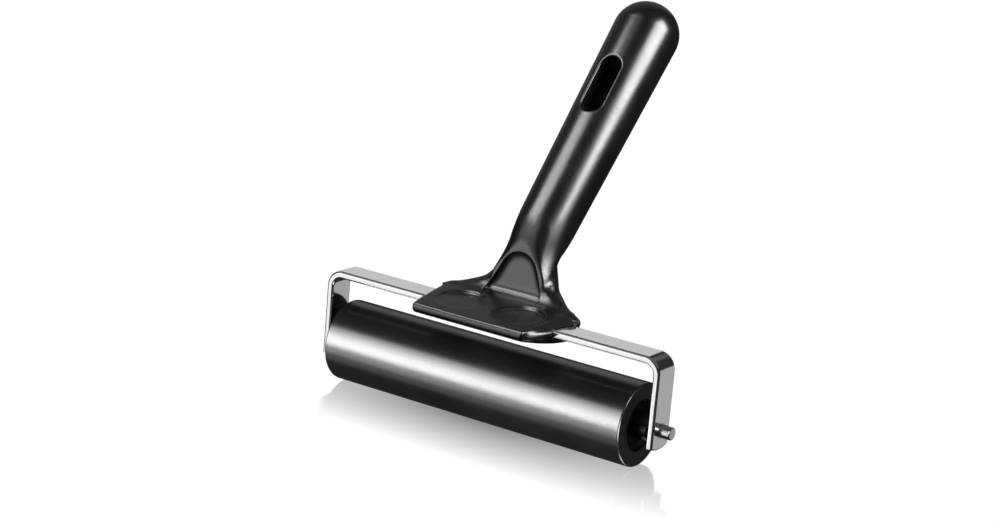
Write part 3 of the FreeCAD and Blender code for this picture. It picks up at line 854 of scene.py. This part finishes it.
def near_light(name, target, azimuth, elevation, distance, size, brightness, receivers):
    """A softbox at a distance from a target, in metres, that faces it."""
    lamp = new_lamp(name, "AREA", receivers)
    lamp.data.size = size
    lamp.data.energy = brightness * math.pi * size ** 2
    direction = towards(azimuth, elevation)
    lamp.location = Vector(target) + direction * distance
    lamp.rotation_euler = direction.to_track_quat("Z", "Y").to_euler()


def light_rubber(rubber):
    """One broad streak along the roller, brightest at its core, and a bright line round its rim."""
    far_light("rubber_front_wide", 326, 12, 46, 9.0, rubber)
    far_light("rubber_front", 326, 8, 32, 7.0, rubber)
    far_light("rubber_front_core", 326, 6, 20, 5.0, rubber)
    far_light("rubber_level", 326, -8, 40, 3.4, rubber)
    far_light("rubber_below", 327, -22, 50, 0.9, rubber)
    far_light("rubber_rim", 44, -10, 40, 30.0, rubber)
    far_light("rubber_rim_high", 88, 40, 24, 20.0, rubber)
    far_light("rubber_rim_low", 113, -65, 30, 10.0, rubber)
    far_light("rubber_back", 205, 38, 50, 0.5, rubber)


def light_handle(handle):
    """Two streaks along the grip, one from each side, and a soft light on the head and scoop."""
    handle_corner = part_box("handle")[1]
    grip_end = (ROLLER_MIDDLE.x, handle_corner.y, handle_corner.z)
    left_target = (ROLLER_MIDDLE.x, LEFT_TARGET_Y, LEFT_TARGET_Z)
    near_light("grip_right", grip_end, 92, 32, 0.50, 0.30, 21.0, handle)
    far_light("grip_right_low", 98, 27, 30, 3.5, handle)
    far_light("neck_right", 88, 12, 26, 3.0, handle)
    near_light("grip_left", left_target, 318, 48, 0.25, 0.15, 9.5, handle)
    far_light("grip_left_far", 324, 50, 44, 0.9, handle)
    far_light("handle_level", 326, 0, 34, 2.8, handle)
    far_light("handle_front", 335, 26, 60, 1.1, handle)
    far_light("handle_back", 220, 30, 70, 0.2, handle)


def light_metal(steel, axle):
    """Even lights for the strip's faces to reflect, and a glint on the axle."""
    far_light("steel_back", 215, 12, 34, 0.56, steel)
    far_light("steel_front", 327, -15, 44, 0.95, steel)
    far_light("steel_right", 147, -17, 44, 0.38, steel)
    far_light("steel_front_high", 326, 14, 40, 0.6, steel)
    far_light("steel_dome", 0, 88, 120, 0.08, steel)
    far_light("axle_front", 8, 30, 50, 2.6, axle)


def light_ends(ends):
    """A dim light on the plugs and bushes."""
    far_light("ends_dome", 0, 88, 110, 0.45, ends)
    far_light("ends_right", 60, 25, 34, 0.5, ends)


def make_lights(floor):
    """All the lamps, by the pieces that they light."""
    pieces = bpy.data.objects
    axle = [pieces["axle_turned"]]
    end_parts = ("_end_plug_turned", "_bush_turned")
    far_light("floor_dome", 0, 90, 170, 1.06, [floor])
    light_rubber([pieces["rubber_sleeve_turned"]])
    light_handle([pieces["handle_moulding"]])
    light_metal([pieces["frame_strip"]] + axle, axle)
    light_ends([pieces[side + part] for side in ("left", "right") for part in end_parts])


# ---------------------------------------------------------------- build

make_camera()
make_world()
grow("handle_moulding", handle_distance, HANDLE_LOW, HANDLE_HIGH, HANDLE_GRID,
     "holder", "handle_plastic", "handle")
grow("frame_strip", frame_distance, FRAME_LOW, FRAME_HIGH, FRAME_GRID,
     "holder", "bright_steel", "frame")
make_roller()
make_axle()
dress({
    "bright_steel": plated_steel(),
    "axle_steel": turned_steel(),
    "handle_plastic": handle_plastic(),
    "rubber": ground_rubber(),
    "core_plastic": moulded_black("core_plastic", greys=(0.03, 0.05), roughness=(0.5, 0.6)),
    "plug_plastic": moulded_black("plug_plastic", greys=(0.003, 0.005), roughness=(0.28, 0.38)),
    "bush_plastic": moulded_black("bush_plastic", greys=(0.003, 0.005), roughness=(0.34, 0.44)),
})
make_lights(make_floor())
bpy.context.scene.view_settings.view_transform = "Standard"
